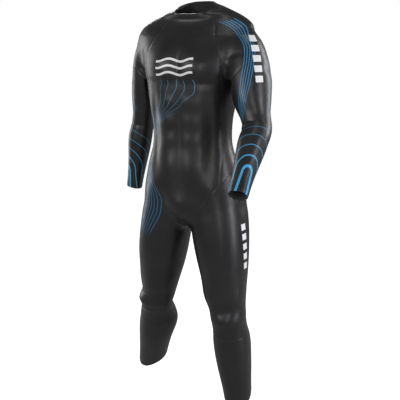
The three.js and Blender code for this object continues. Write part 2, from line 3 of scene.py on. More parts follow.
import bmesh
import bpy
import numpy as np
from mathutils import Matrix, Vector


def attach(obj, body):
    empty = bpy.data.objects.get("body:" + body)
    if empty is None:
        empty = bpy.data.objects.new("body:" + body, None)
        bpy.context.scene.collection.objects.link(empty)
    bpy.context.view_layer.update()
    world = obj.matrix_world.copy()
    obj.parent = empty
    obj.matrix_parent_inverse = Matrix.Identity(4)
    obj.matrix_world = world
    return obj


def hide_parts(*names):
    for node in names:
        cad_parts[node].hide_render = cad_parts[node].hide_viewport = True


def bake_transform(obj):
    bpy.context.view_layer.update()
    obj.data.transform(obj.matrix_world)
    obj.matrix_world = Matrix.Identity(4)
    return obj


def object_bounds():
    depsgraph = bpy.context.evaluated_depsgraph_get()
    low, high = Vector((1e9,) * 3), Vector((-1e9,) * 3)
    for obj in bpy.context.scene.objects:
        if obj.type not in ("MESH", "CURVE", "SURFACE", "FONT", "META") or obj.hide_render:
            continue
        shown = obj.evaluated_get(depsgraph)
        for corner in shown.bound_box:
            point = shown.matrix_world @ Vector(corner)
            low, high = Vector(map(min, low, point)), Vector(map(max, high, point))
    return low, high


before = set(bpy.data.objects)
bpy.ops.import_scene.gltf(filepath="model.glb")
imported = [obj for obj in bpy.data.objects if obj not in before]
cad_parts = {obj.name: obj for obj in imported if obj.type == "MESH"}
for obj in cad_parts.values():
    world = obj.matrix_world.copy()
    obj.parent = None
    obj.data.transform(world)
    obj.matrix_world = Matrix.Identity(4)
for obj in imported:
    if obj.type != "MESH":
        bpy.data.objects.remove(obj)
cadBox = [list(corner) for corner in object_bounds()]
neckCentre = np.array([0, 0.020, 1.520])  # the part's origin, above the wearer's floor


def unit(*v):
    v = np.array(v, float)
    return v / np.linalg.norm(v)


def step01(x, low, high):  # smoothstep of x from low to high
    t = np.clip((x - low) / (high - low), 0, 1)
    return t * t * (3 - 2 * t)


# Camera
cameraPlace = {"azimuth": 26.7, "distance": 2.30, "height": 1.38, "pitch": 12.0, "yaw": -0.55, "lens": 62.7}


def makeCamera(at):
    camera = bpy.data.cameras.new("camera")
    camera.lens = at["lens"]
    seat = bpy.data.objects.new("camera", camera)
    turn = math.radians(at["azimuth"])
    away = np.array([math.sin(turn) * at["distance"], -math.cos(turn) * at["distance"], at["height"]])
    seat.location = away - neckCentre
    seat.rotation_euler = (math.radians(90 - at["pitch"]), 0, turn + math.radians(at["yaw"]))
    bpy.context.scene.collection.objects.link(seat)
    bpy.context.scene.camera = seat


makeCamera(cameraPlace)

# The body form
# Rings of the trunk: height above the wearer's floor, centre, half width, front depth, back depth, tilt
trunkRings = [
    (0.808, 0.012, 0.060, 0.046, 0.058, 0),
    (0.822, 0.011, 0.094, 0.064, 0.082, 0),
    (0.840, 0.010, 0.126, 0.080, 0.102, 0),
    (0.880, 0.005, 0.158, 0.095, 0.123, 0),
    (0.930, 0.002, 0.171, 0.101, 0.122, 0),
    (1.000, -0.002, 0.160, 0.099, 0.106, 0),
    (1.090, -0.004, 0.136, 0.095, 0.088, 0),
    (1.160, -0.004, 0.136, 0.099, 0.092, 0),
    (1.240, -0.001, 0.148, 0.110, 0.096, 0),
    (1.315, 0.002, 0.160, 0.118, 0.099, 0),
    (1.372, 0.006, 0.174, 0.112, 0.100, 0),
    (1.415, 0.012, 0.190, 0.094, 0.096, 2),
    (1.444, 0.020, 0.199, 0.079, 0.090, 8),
    (1.464, 0.025, 0.189, 0.070, 0.083, 13),
    (1.482, 0.028, 0.162, 0.065, 0.074, 18),
    (1.497, 0.029, 0.129, 0.063, 0.066, 21),
    (1.510, 0.024, 0.097, 0.062, 0.062, 22),
    (1.520, 0.020, 0.068, 0.062, 0.062, 22),
    (1.600, -0.012, 0.066, 0.062, 0.062, 22),
]
roundness = 2.25  # 2 is an ellipse, more is squarer


def curveThrough(rows):  # cubic through the rows, its slope at each row the mean of the two beside it
    rows = np.array(rows, float)
    x, y = rows[:, 0], rows[:, 1:]
    rise = np.diff(y, axis=0) / np.diff(x)[:, None]
    slope = np.vstack([rise[:1], (rise[:-1] + rise[1:]) / 2, rise[-1:]])

    def at(value):
        value = np.clip(value, x[0], x[-1])
        i = np.clip(np.searchsorted(x, value) - 1, 0, len(x) - 2)
        w = (x[i + 1] - x[i])[..., None]
        t = (value - x[i])[..., None] / w
        return (y[i] * (1 + 2 * t) * (1 - t) ** 2 + slope[i] * w * t * (1 - t) ** 2
                + y[i + 1] * t * t * (3 - 2 * t) + slope[i + 1] * w * t * t * (t - 1))

    return at


trunkAt = curveThrough(trunkRings)


def roundedDistance(across, ahead, half, front, back):
    # r - R, where R is the rounded outline's radius in the direction of (across, ahead)
    depth = np.where(ahead > 0, front, back)
    r = np.hypot(across, ahead) + 1e-9
    share = (np.abs(across / half) ** roundness + np.abs(ahead / depth) ** roundness) ** (1 / roundness)
    return r - r / (share + 1e-9)


def bump(x, z, place, size, lift):  # a soft swelling: lift * exp(-(distance / size)^2)
    return lift * np.exp(-((x - place[0]) / size[0]) ** 2 - ((z - place[1]) / size[1]) ** 2)


# Muscles under the skin: place (x, z), size, lift; the front, then the back
frontMuscles = [
    ((0.072, 1.335), (0.058, 0.038), 0.013), ((0.075, 1.285), (0.050, 0.014), -0.005),
    ((0.0, 1.33), (0.014, 0.050), -0.005), ((0.0, 1.15), (0.014, 0.095), -0.0028),
    ((0.042, 1.225), (0.028, 0.022), 0.0036), ((0.042, 1.165), (0.028, 0.022), 0.0036),
    ((0.042, 1.105), (0.028, 0.024), 0.0036), ((0.040, 1.02), (0.034, 0.050), 0.005),
    ((0.096, 1.12), (0.016, 0.110), -0.006), ((0.115, 1.20), (0.025, 0.050), 0.004),
    ((0.0, 0.885), (0.045, 0.040), 0.012), ((0.098, 0.955), (0.030, 0.030), 0.006),
    ((0.075, 0.895), (0.022, 0.040), -0.008), ((0.10, 1.435), (0.050, 0.012), 0.006),
]
backMuscles = [
    ((0.0, 1.22), (0.018, 0.260), -0.008), ((0.045, 1.10), (0.026, 0.110), 0.008),
    ((0.088, 1.345), (0.042, 0.058), 0.014), ((0.120, 1.24), (0.036, 0.060), 0.008),
    ((0.078, 0.905), (0.056, 0.050), 0.024), ((0.0, 0.90), (0.012, 0.070), -0.020),
    ((0.06, 1.435), (0.050, 0.030), 0.008), ((0.085, 1.005), (0.050, 0.035), -0.005),
]
muscleFade = (0.02, 0.07)  # none of the lift at the flanks, all of it this far ahead or behind


def trunkDistance(p):
    # the rounded outline's distance at the point's tilted ring, less the lift of the muscles
    x, y, z = p[..., 0], p[..., 1], p[..., 2]
    height = z
    for _ in range(2):  # a tilted ring holds the points with z = height + depth * sin(tilt)
        row = trunkAt(height)
        tilt = np.radians(row[..., 4])
        depth = (y - row[..., 0]) / np.cos(tilt)
        height = z - depth * np.sin(tilt)
    row = trunkAt(height)
    ahead = row[..., 0] - y
    lift = 0
    for group, here in ((frontMuscles, ahead > 0), (backMuscles, ahead <= 0)):
        for place, size, amount in group:
            lift = lift + bump(np.abs(x), z, place, size, amount) * here
    lift = lift * step01(np.abs(ahead), *muscleFade)
    d = roundedDistance(x, -depth, row[..., 1], row[..., 2], row[..., 3]) - lift
    below = trunkRings[0][0] - height
    return np.where(below > 0, np.hypot(np.maximum(d, 0), below), d)


# Rings of a limb: distance from its first joint, half width, front and back radius
armRings = [
    (-0.030, 0.006, 0.006, 0.006), (-0.018, 0.024, 0.025, 0.025), (0.002, 0.041, 0.043, 0.042),
    (0.030, 0.050, 0.053, 0.052), (0.070, 0.056, 0.059, 0.057), (0.110, 0.060, 0.061, 0.058),
    (0.150, 0.060, 0.058, 0.055), (0.205, 0.053, 0.053, 0.049), (0.262, 0.043, 0.044, 0.044),
    (0.300, 0.042, 0.044, 0.045), (0.345, 0.043, 0.046, 0.043), (0.385, 0.041, 0.043, 0.041),
    (0.440, 0.036, 0.037, 0.035), (0.490, 0.032, 0.031, 0.030), (0.530, 0.031, 0.028, 0.028),
    (0.600, 0.031, 0.028, 0.028),
]
legRings = [
    (-0.100, 0.060, 0.060, 0.070), (-0.040, 0.078, 0.078, 0.096), (0.020, 0.087, 0.086, 0.104),
    (0.080, 0.089, 0.088, 0.098), (0.150, 0.085, 0.085, 0.088), (0.220, 0.077, 0.078, 0.077),
    (0.300, 0.065, 0.067, 0.063), (0.350, 0.059, 0.061, 0.056), (0.385, 0.058, 0.062, 0.053),
    (0.420, 0.056, 0.058, 0.057), (0.470, 0.060, 0.057, 0.066), (0.520, 0.060, 0.058, 0.066),
    (0.580, 0.056, 0.055, 0.058), (0.640, 0.050, 0.051, 0.052), (0.685, 0.047, 0.049, 0.050),
    (0.800, 0.045, 0.047, 0.048),
]
# Each limb: rings, the ends of its two bones, its turn outwards, its side, and thickness at both ends
limbs = {
    "left_arm": {"rings": armRings, "start": (0.171, 0.012, 1.416), "bend": (0.259, -0.088, 1.153),
                 "end": (0.270, -0.255, 0.978), "turn": 0, "side": 1, "stout": (1.13, 0.98)},
    "right_arm": {"rings": armRings, "start": (-0.160, 0.010, 1.416), "bend": (-0.228, 0.060, 1.135),
                  "end": (-0.278, 0.076, 0.903), "turn": 0, "side": -1, "stout": (0.80, 0.90)},
    "left_leg": {"rings": legRings, "start": (0.090, 0.002, 0.880), "bend": (0.131, 0.006, 0.497),
                 "end": (0.153, 0.042, 0.200), "turn": 10, "side": 1, "stout": (1.05, 1.04)},
    "right_leg": {"rings": legRings, "start": (-0.096, 0.002, 0.880), "bend": (-0.166, 0.047, 0.5045),
                  "end": (-0.246, 0.136, 0.230), "turn": -48, "side": -1, "stout": (0.94, 1.05)},
}
for limb in limbs.values():
    start, bend, end = (np.array(limb[key]) for key in ("start", "bend", "end"))
    limb.update(start=start, bend=bend, end=end, first=unit(*(bend - start)), second=unit(*(end - bend)))
    limb["lengths"] = np.linalg.norm(bend - start), np.linalg.norm(end - bend)
    limb["at"] = curveThrough(limb["rings"])


def facingOut(turn):  # level direction ahead, turned towards +X
    turn = np.radians(turn)
    return np.stack([np.sin(turn), -np.cos(turn), 0 * turn], -1)


def around(angle, middle):  # degrees from a middle, the short way round
    return (angle - middle + 180) % 360 - 180


bendReach = 0.06  # the two bones' directions mix this far from the bend


def limbPlace(limb, p):
    # along, across and ahead of the limb: each bone's own, mixed where the limb bends
    middle = unit(*(limb["first"] + limb["second"]))
    mix = step01((p - limb["bend"]) @ middle, -bendReach, bendReach)
    first = (p - limb["start"]) @ limb["first"]
    second = limb["lengths"][0] + (p - limb["bend"]) @ limb["second"]
    along = first * (1 - mix) + second * mix
    facing = facingOut(limb["turn"] * step01(along, 0, limb["lengths"][0]))
    result = [along]
    for kind in ("across", "ahead"):
        total = 0
        for bone, origin, share in ((limb["first"], limb["start"], 1 - mix),
                                    (limb["second"], limb["bend"], mix)):
            ahead = facing - (facing @ bone)[..., None] * bone
            ahead = ahead / np.linalg.norm(ahead, axis=-1, keepdims=True)
            axis = ahead if kind == "ahead" else np.cross(ahead, bone)
            total = total + share * np.sum((p - origin) * axis, -1)
        result.append(total)
    return result


# Muscles of a limb: distance along, angle from ahead, length, spread in degrees, lift
muscles = {
    "arm": [(0.055, 60, 0.060, 50, 0.006), (0.165, 0, 0.055, 42, 0.005), (0.150, 180, 0.065, 48, 0.005),
            (0.120, 90, 0.018, 30, -0.003), (0.345, 60, 0.055, 45, 0.004), (0.300, 180, 0.020, 30, 0.003)],
    "leg": [(0.180, 20, 0.110, 40, 0.006), (0.300, -60, 0.045, 35, 0.008), (0.305, 45, 0.040, 30, 0.005),
            (0.385, 0, 0.024, 34, 0.007), (0.350, 0, 0.014, 40, -0.003), (0.418, 0, 0.014, 30, -0.004),
            (0.480, 155, 0.055, 34, 0.007), (0.470, -155, 0.050, 34, 0.007),
            (0.385, 180, 0.030, 40, -0.006), (0.200, 180, 0.090, 40, 0.005)],
}
overrun = {"arm": 0.009, "leg": 0.07}  # how far a limb's form runs past its end
stoutReach = 0.5  # a limb's thickness goes from its first share to its second over this length


def limbDistance(name, p):
    # the rounded outline's distance, less the lift of muscles and folds, closed past both ends
    limb, kind = limbs[name], name[-3:]
    along, across, ahead = limbPlace(limb, p)
    row = limb["at"](along)
    angle = np.degrees(np.arctan2(across * limb["side"], ahead))
    lift = 0
    for place, turn, length, spread, amount in muscles[kind]:
        off = around(angle, turn)
        lift = lift + amount * np.exp(-((along - place) / length) ** 2 - (off / spread) ** 2)
    lift = lift + limbFolds(name, along, angle)
    share = step01(along, 0, stoutReach)
    row = row * (limb["stout"][0] * (1 - share) + limb["stout"][1] * share)[..., None]
    d = roundedDistance(across, ahead, row[..., 0], row[..., 1], row[..., 2]) - lift
    past = np.maximum(limb["rings"][0][0] - along, along - sum(limb["lengths"]) - overrun[kind])
    return np.where(past > 0, np.hypot(np.maximum(d, 0), past), d)


# Folds where the skin gathers: limb, distance along, angle, slant, length, spread, depth
folds = [
    ("right_leg", 0.395, -30, 0.10, 0.006, 55, -0.004), ("right_leg", 0.412, 150, -0.1, 0.007, 70, -0.005),
    ("right_leg", 0.372, 160, 0.12, 0.007, 60, -0.004), ("left_leg", 0.402, 20, 0.08, 0.007, 60, -0.0025),
    ("left_leg", 0.395, 175, 0.05, 0.008, 70, -0.004), ("left_arm", 0.288, -20, 0.12, 0.007, 60, -0.003),
    ("left_arm", 0.312, -40, -0.1, 0.006, 50, -0.0025), ("right_arm", 0.292, 0, 0.1, 0.007, 60, -0.003),
    ("left_arm", 0.060, -60, 0.20, 0.009, 50, -0.005), ("left_arm", 0.085, -80, 0.30, 0.009, 45, -0.005),
    ("right_arm", 0.070, -60, 0.22, 0.009, 50, -0.004),
]
slantScale = 0.0009  # metres along for each degree round, at a slant of 1


def limbFolds(name, along, angle):
    # grooves round part of the limb: depth * exp(-(off the line / length)^2 - (off the angle / spread)^2)
    lift = 0
    for where, place, turn, slant, length, spread, depth in folds:
        if where == name:
            off = around(angle, turn)
            line = place + slant * off * slantScale
            lift = lift + depth * np.exp(-((along - line) / length) ** 2 - (off / spread) ** 2)
    return lift


def joined(a, b, width):  # smooth least of two distances
    h = np.clip(0.5 + 0.5 * (b - a) / width, 0, 1)
    return b + (a - b) * h - width * h * (1 - h)


joinWidth = {"legs": 0.006, "hips": 0.026, "armpit": 0.006, "shoulder": 0.034, "from": 1.294, "to": 1.350}
innerSide = {"half": 0.1715, "height": 1.292, "widening": 3.0, "soft": 0.010}


def clearOfTrunk(d, p, side):  # below the armpit a sleeve keeps its inner side off the trunk
    above = np.maximum(p[..., 2] - innerSide["height"], 0)
    inner = innerSide["half"] - innerSide["widening"] * above - side * p[..., 0]
    return -joined(-d, -inner, innerSide["soft"])


def bodyDistance(p):  # distance from a point in the part's frame to the whole form, negative inside
    p = p + neckCentre
    size = joinWidth
    legs = joined(limbDistance("left_leg", p), limbDistance("right_leg", p), size["legs"])
    d = joined(trunkDistance(p), legs, size["hips"])
    # the sleeves run softly into the shoulders, and part from the trunk below the armpits
    share = step01(p[..., 2], size["from"], size["to"])
    soft = size["armpit"] + (size["shoulder"] - size["armpit"]) * share
    for name in ("left_arm", "right_arm"):
        d = joined(d, clearOfTrunk(limbDistance(name, p), p, limbs[name]["side"]), soft)
    return d


def slopeOf(p):  # direction in which the distance grows
    reach = 0.0008
    near = [bodyDistance(p + reach * axis) - bodyDistance(p - reach * axis) for axis in np.eye(3)]
    slope = np.stack(near, -1) / (2 * reach)
    return slope, np.linalg.norm(slope, axis=-1, keepdims=True) + 1e-9


skinGrid = {"cell": 0.0052, "coarseCell": 0.009, "margin": 0.03, "rounds": 6}


def skinMesh(cell, grid=skinGrid):
    # one vertex in each cell of a grid that the surface crosses, drawn onto the surface along its slope
    low = np.array(cadBox[0]) - grid["margin"]
    size = np.ceil((np.array(cadBox[1]) + grid["margin"] - low) / cell).astype(int)
    axes = [low[i] + cell * np.arange(size[i]) for i in range(3)]
    level = np.empty(size, np.float32)
    for i, x in enumerate(axes[0]):
        y, z = np.meshgrid(axes[1], axes[2], indexing="ij")
        level[i] = bodyDistance(np.stack([np.full_like(y, x), y, z], -1))
    inside = level < 0
    corner = [inside[a:size[0] - 1 + a, b:size[1] - 1 + b, c:size[2] - 1 + c]
              for a in (0, 1) for b in (0, 1) for c in (0, 1)]
    count = sum(c.astype(np.int8) for c in corner)
    crossed = (count > 0) & (count < 8)
    index = np.full(crossed.shape, -1)
    index[crossed] = np.arange(crossed.sum())
    points = np.stack([axes[i][n] for i, n in enumerate(np.nonzero(crossed))], -1) + cell / 2
    faces = []
    for axis in range(3):  # a face round each grid edge whose ends lie on both sides
        b, c = (axis + 1) % 3, (axis + 2) % 3
        here = np.moveaxis(inside, (axis, b, c), (0, 1, 2))
        cells = np.moveaxis(index, (axis, b, c), (0, 1, 2))
        start, end = here[:-1, 1:-1, 1:-1], here[1:, 1:-1, 1:-1]
        i, j, k = np.nonzero(start != end)
        corners = cells[i, j, k], cells[i, j + 1, k], cells[i, j + 1, k + 1], cells[i, j, k + 1]
        quad = np.stack(corners, -1)
        leaving = start[i, j, k]
        faces.append(np.where(leaving[:, None], quad, quad[:, ::-1]))
    for _ in range(grid["rounds"]):
        slope, steep = slopeOf(points)
        d = bodyDistance(points)[:, None]
        points = points - np.clip(d / steep, -cell, cell) * slope / steep
    return points, np.concatenate(faces)


points, faces = skinMesh(skinGrid["cell"])
print("skin:", len(points), "points")

# Seams
seamRoom = 0.00002  # neighbouring panels meet edge to edge
snap = 0.000001  # a seam takes a vertex this near to it


def seam(point, normal):  # a plane in the part's frame; its normal points at what lies beyond it
    normal = unit(*normal)
    return normal, float(normal @ (np.array(point) - neckCentre))


def back(plane):
    return -plane[0], -plane[1]


def shifted(plane, distance):
    return plane[0], plane[1] + distance


seamSizes = {"armpit": (0.164, 1.290), "armholeTilt": 44, "armSideLean": 5.0, "hand": 0.888,
             "crotch": 0.812, "groinTilt": 50, "shoulderFlex": 0.080, "elbowReach": 0.044,
             "hipFlex": 0.130, "kneeReach": 0.062, "cuff": 0.024, "hem": 0.012, "hemSlant": 0.6,
             "raglanAtNeck": 0.078, "side": 0.130, "waist": 1.150, "lowerBack": 1.085, "seat": 0.975,
             "gusset": 0.042, "underarm": 0.026, "front": 0.015, "neckTilt": 22, "collar": 0.030,
             "binding": 0.004, "zipHalf": 0.0186, "zipBottom": 1.117, "zipTop": 1.480}
neckLean = math.radians(seamSizes["neckTilt"])
collarUp = np.array([0, -math.sin(neckLean), math.cos(neckLean)])
collarBase = neckCentre - collarUp * seamSizes["collar"]


def seamsOf(sideName):
    side = 1 if sideName == "left" else -1
    arm, leg = limbs[sideName + "_arm"], limbs[sideName + "_leg"]
    s = seamSizes

    def lean(degrees):
        return side * math.sin(math.radians(degrees)), 0, -math.cos(math.radians(degrees))

    def along(origin, bone, way):  # a seam that runs along a bone and faces a way
        return seam(origin, way - (way @ bone) * bone)

    armpit = (side * s["armpit"][0], 0, s["armpit"][1])
    sideLean = math.radians(s["armSideLean"])
    armhole = seam(armpit, lean(s["armholeTilt"]))
    groin = seam((0, 0, s["crotch"]), lean(s["groinTilt"]))
    rise = collarBase[2] - s["armpit"][1]
    facing = facingOut(leg["turn"])
    hemEnd = seam(leg["end"], leg["second"] - s["hemSlant"] * facing)
    outward = np.array([side, 0, 0.0])
    return {
        "armhole": armhole,
        "armSide": seam(armpit, (side * math.cos(sideLean), 0, math.sin(sideLean))),
        "aboveHand": seam((0, 0, s["hand"]), (0, 0, 1)),
        "groin": groin,
        "middle": seam((0, 0, 0), outward),
        "raglan": seam((side * s["raglanAtNeck"], 0, collarBase[2]),
                       (side * rise, 0, s["armpit"][0] - s["raglanAtNeck"])),
        "sideSeam": seam((side * s["side"], 0, 0), outward),
        "underarm": seam((side * (s["armpit"][0] + s["underarm"]), 0, 0), outward),
        "shoulderFlexEnd": shifted(armhole, s["shoulderFlex"]),
        "elbowFlexStart": seam(arm["bend"] - arm["first"] * s["elbowReach"], arm["first"]),
        "elbowFlexEnd": seam(arm["bend"] + arm["second"] * s["elbowReach"], arm["second"]),
        "cuffStart": seam(arm["end"] - arm["second"] * s["cuff"], arm["second"]),
        "cuffEnd": seam(arm["end"], arm["second"]),
        "upperSplit": along(arm["bend"], arm["first"], outward),
        "lowerSplit": along(arm["bend"], arm["second"], outward),
        "hipFlexEnd": shifted(groin, s["hipFlex"]),
        "kneeFlexStart": seam(leg["bend"] - leg["first"] * s["kneeReach"], leg["first"]),
        "kneeFlexEnd": seam(leg["bend"] + leg["second"] * s["kneeReach"], leg["second"]),
        "hemEnd": hemEnd,
        "hemStart": shifted(hemEnd, -s["hem"]),
        "thighSplit": along(leg["bend"], leg["first"], facing),
        "shinSplit": along(leg["bend"], leg["second"], facing),
    }


def sheetOf(points, faces):
    mesh = bpy.data.meshes.new("skin")
    mesh.from_pydata(points, [], faces.tolist())
    sheet = bmesh.new()
    sheet.from_mesh(mesh)
    bpy.data.meshes.remove(mesh)
    return sheet


def cut(sheet, plane, clear, stop=None):  # stop: only what lies beyond this plane is cut
    geometry = sheet.verts[:] + sheet.edges[:] + sheet.faces[:]
    if stop:
        faces = [f for f in sheet.faces if np.dot(stop[0], f.calc_center_median()) > stop[1]]
        geometry = list(dict.fromkeys(item for f in faces for item in (*f.verts, *f.edges, f)))
    normal, offset = plane
    bmesh.ops.bisect_plane(sheet, geom=geometry, dist=snap, plane_co=normal * offset, plane_no=normal,
                           clear_inner=clear)


def beyond(sheet, *planes):  # a copy that keeps what lies beyond every seam
    part = sheet.copy()
    for plane in planes:
        cut(part, shifted(plane, seamRoom), True)
    return part


def outside(sheet, *planes):  # a copy without the wedge that lies beyond all the seams
    part = sheet.copy()
    for normal, offset in planes:
        cut(part, (normal, offset - seamRoom), False)
    gone = [f for f in part.faces
            if all(np.dot(n, f.calc_center_median()) > o - seamRoom for n, o in planes)]
    bmesh.ops.delete(part, geom=gone, context="FACES")
    return part


skin = sheetOf(points, faces)
seams = {"left": seamsOf("left"), "right": seamsOf("right")}

# Shader expressions


class Value:
    # a socket with arithmetic: each operator adds a Math node
    def __init__(self, tree, socket):
        self.tree, self.socket = tree, socket

    def math(self, operation, *others):
        inputs = dict(enumerate((self,) + others))
        return self.tree.add("ShaderNodeMath", {"operation": operation}, inputs)["Value"]

    def __add__(self, other):
        return self.math("ADD", other)

    def __mul__(self, other):
        return self.math("MULTIPLY", other)

    def __sub__(self, other):
        return self.math("SUBTRACT", other)

    def __rsub__(self, other):
        return (self * -1).math("ADD", other)

    def __truediv__(self, other):
        return self.math("DIVIDE", other)

    __radd__ = __add__
    __rmul__ = __mul__

    def awayFrom(self, place):  # distance from a number, either way
        return (self - place).math("ABSOLUTE")

    def span(self, low, high):  # smooth step: 0 at low, 1 at high
        node = self.tree.add("ShaderNodeMapRange", {"interpolation_type": "SMOOTHSTEP"},
                             {"Value": self, "From Min": low, "From Max": high})
        return node["Result"]


class Shader:
    def __init__(self, name):
        self.material = bpy.data.materials.new(name)
        self.material.use_nodes = True
        self.nodes = self.material.node_tree.nodes
        self.links = self.material.node_tree.links
        self.surface = self.nodes["Principled BSDF"]

    def add(self, kind, settings, values=None):
        node = self.nodes.new(kind)
        for key, value in settings.items():
            setattr(node, key, value)
        for key, value in (values or {}).items():
            self.put(node.inputs[key], value)
        return {socket.name: Value(self, socket) for socket in node.outputs if socket.enabled}

    def put(self, socket, value):
        if isinstance(value, Value):
            self.links.new(value.socket, socket)
        else:
            socket.default_value = value

    def set(self, **values):
        for key, value in values.items():
            self.put(self.surface.inputs[key.replace("_", " ")], value)

    def attribute(self, name, part="Fac"):
        return self.add("ShaderNodeAttribute", {"attribute_name": name})[part]

    def place(self):
        return self.add("ShaderNodeTexCoord", {})["Object"]

    def apart(self, vector):
        parts = self.add("ShaderNodeSeparateXYZ", {}, {"Vector": vector})
        return parts["X"], parts["Y"], parts["Z"]

    def noise(self, scale, detail=2.0):
        values = {"Vector": self.place(), "Scale": scale, "Detail": detail}
        return self.add("ShaderNodeTexNoise", {}, values)["Fac"]

    def mixed(self, share, low, high):  # of two colours; a Mix node's colour sockets are 6 and 7
        return self.add("ShaderNodeMix", {"data_type": "RGBA"}, {0: share, 6: low, 7: high})["Result"]

    def bumped(self, height, strength, distance, under=None):
        values = {"Height": height, "Strength": strength, "Distance": distance}
        if under:
            values["Normal"] = under
        return self.add("ShaderNodeBump", {}, values)["Normal"]


def paint(colour, amount=1):  # red, green and blue, times an amount, and a full alpha
    return (*(c * amount for c in colour), 1)


rubberLook = {"black": (0.0085, 0.0083, 0.0088), "grey": (0.0145, 0.0142, 0.0150),
              "cloudScale": 5.0, "cloudDetail": 3, "cloud": (0.35, 0.65),
              "navy": (0.006, 0.012, 0.027), "faint": (0.030, 0.100, 0.180), "bright": (0.060, 0.44, 0.80),
              "lineEdge": (1.15, 0.75), "thinnest": 0.001, "lineShows": (0.002, 0.02),
              "white": (0.95, 0.95, 0.95), "markRoughness": 0.12,
              "stitch": (0.03, 0.03, 0.033), "stitchAway": 0.0030, "stitchEdge": (0.0008, 0.0004),
              "stitchShare": 0.35,
              "swellScale": 26.0, "swellStrength": 0.25, "swellDepth": 0.0012,
              "grainScale": 900, "grainStrength": 0.35, "grainDepth": 0.00005,
              "roughness": 0.40, "roughRange": 0.07, "roughSwell": (0.3, 0.7),
              "coat": 0.12, "coatRoughness": 0.22, "specular": 0.55, "refraction": 1.5}


def neopreneMaterial(name, darker=1.0, look=rubberLook):
    s = Shader(name)
    cloud = s.noise(look["cloudScale"], look["cloudDetail"]).span(*look["cloud"])
    base = s.mixed(cloud, paint(look["black"], darker), paint(look["grey"], darker))
    base = s.mixed(s.attribute("shade"), base, paint(look["navy"]))
    # two sets of lines, where "line" is a whole number; "half" is half a line's width, "tint" its light
    for number in ("", "2"):
        line, half, tint = (s.attribute(part + number) for part in ("line", "half", "tint"))
        off = (line + 0.5).math("FRACT").awayFrom(0.5)
        ink = (off / half.math("MAXIMUM", look["thinnest"])).span(*look["lineEdge"])
        ink = ink * half.span(*look["lineShows"])
        base = s.mixed(ink, base, s.mixed(tint, paint(look["faint"]), paint(look["bright"])))
    mark = markMask(s)
    base = s.mixed(mark, base, paint(look["white"]))
    # a fine stitched row beside each seam
    stitchRow = s.attribute("edge").awayFrom(look["stitchAway"]).span(*look["stitchEdge"])
    base = s.mixed(stitchRow * look["stitchShare"], base, paint(look["stitch"]))
    grain = s.noise(look["grainScale"])
    swell = s.noise(look["swellScale"])
    normal = s.bumped(swell, look["swellStrength"], look["swellDepth"])
    normal = s.bumped(grain, look["grainStrength"], look["grainDepth"], normal)
    rough = swell.span(*look["roughSwell"]) * look["roughRange"] + look["roughness"]
    s.set(Base_Color=base, Roughness=rough + mark * look["markRoughness"], Normal=normal)
    s.set(Coat_Weight=look["coat"], Coat_Roughness=look["coatRoughness"])
    s.set(Specular_IOR_Level=look["specular"], IOR=look["refraction"])
    return s.material


# Marks in place of lettering: count of rows, half width of a row, ends across and along
bars = {"count": 5, "row": (0.34, 0.30), "acrossEnd": (1.0, 0.95), "alongEnd": 0.04}
waves = {"count": 3, "row": (0.19, 0.15), "acrossEnd": (1.0, 0.97), "alongEnd": 0.03}
ripple = {"rate": 5.2, "height": 0.22}


def markRows(rows, across, along, level):  # stripes where the level is halfway between whole numbers
    middle = rows["count"] / 2
    stripe = level.math("FRACT").awayFrom(0.5).span(*rows["row"])
    inside = across.math("ABSOLUTE").span(*rows["acrossEnd"])
    return stripe * inside * along.awayFrom(middle).span(middle, middle - rows["alongEnd"])


def markMask(s):
    # the attribute "mark" holds across, along and kind: 0 nothing, 1 plain bars, 2 low waves
    across, along, kind = s.apart(s.attribute("mark", "Vector"))
    barMark = markRows(bars, across, along, along)
    wave = (across * ripple["rate"]).math("SINE") * ripple["height"]
    waveMark = markRows(waves, across, along, along + wave)
    isWave = kind.span(1.5, 1.6)
    return barMark * kind.span(0.5, 0.6) * (1 - kind.span(1.4, 1.5)) + waveMark * isWave


knitLook = {"deep": 0.55, "roughness": 0.85, "strength": 0.4, "depth": 0.0003, "sheen": 0.25,
            "sheenRoughness": 0.5}
fullTurn = 6.283


def knitMaterial(name, colour, scale=420, look=knitLook):  # sine rows times sine ribs, each scale per metre
    s = Shader(name)
    x, y, z = s.apart(s.place())
    rows = (z * scale * fullTurn).math("SINE")
    ribs = ((x + y) * scale * fullTurn).math("SINE")
    weave = (rows * ribs).span(-1, 1)
    s.set(Base_Color=s.mixed(weave, paint(colour, look["deep"]), paint(colour)))
    s.set(Roughness=look["roughness"], Normal=s.bumped(weave, look["strength"], look["depth"]))
    s.set(Sheen_Weight=look["sheen"], Sheen_Roughness=look["sheenRoughness"])
    return s.material


fittingLook = {"speckScale": 700, "deep": 0.8, "roughRange": 0.1, "strength": 0.15, "depth": 0.0002}


def fittingMaterial(name, colour, roughness, metal=0.0, look=fittingLook):
    s = Shader(name)
    speck = s.noise(look["speckScale"])
    s.set(Base_Color=s.mixed(speck, paint(colour, look["deep"]), paint(colour)))
    s.set(Roughness=speck.span(0, 1) * look["roughRange"] + roughness)
    s.set(Normal=s.bumped(speck, look["strength"], look["depth"]), Metallic=metal)
    return s.material


# Finishes of the skin by slot, then those of the zip
smooth, stretchy, hem, knit = "smooth_neoprene", "stretch_neoprene", "hem_neoprene", "lining_knit"
finishes = {
    smooth: neopreneMaterial(smooth),
    stretchy: neopreneMaterial(stretchy, 0.9),
    hem: neopreneMaterial(hem, 0.75),
    knit: knitMaterial(knit, (0.035, 0.036, 0.040)),
}
tapeCloth = knitMaterial("zip_tape", (0.022, 0.022, 0.024), 700)
zipPlastic = fittingMaterial("zip_plastic", (0.02, 0.02, 0.022), 0.45)
zipMetal = fittingMaterial("zip_metal", (0.10, 0.10, 0.105), 0.32, 0.85)

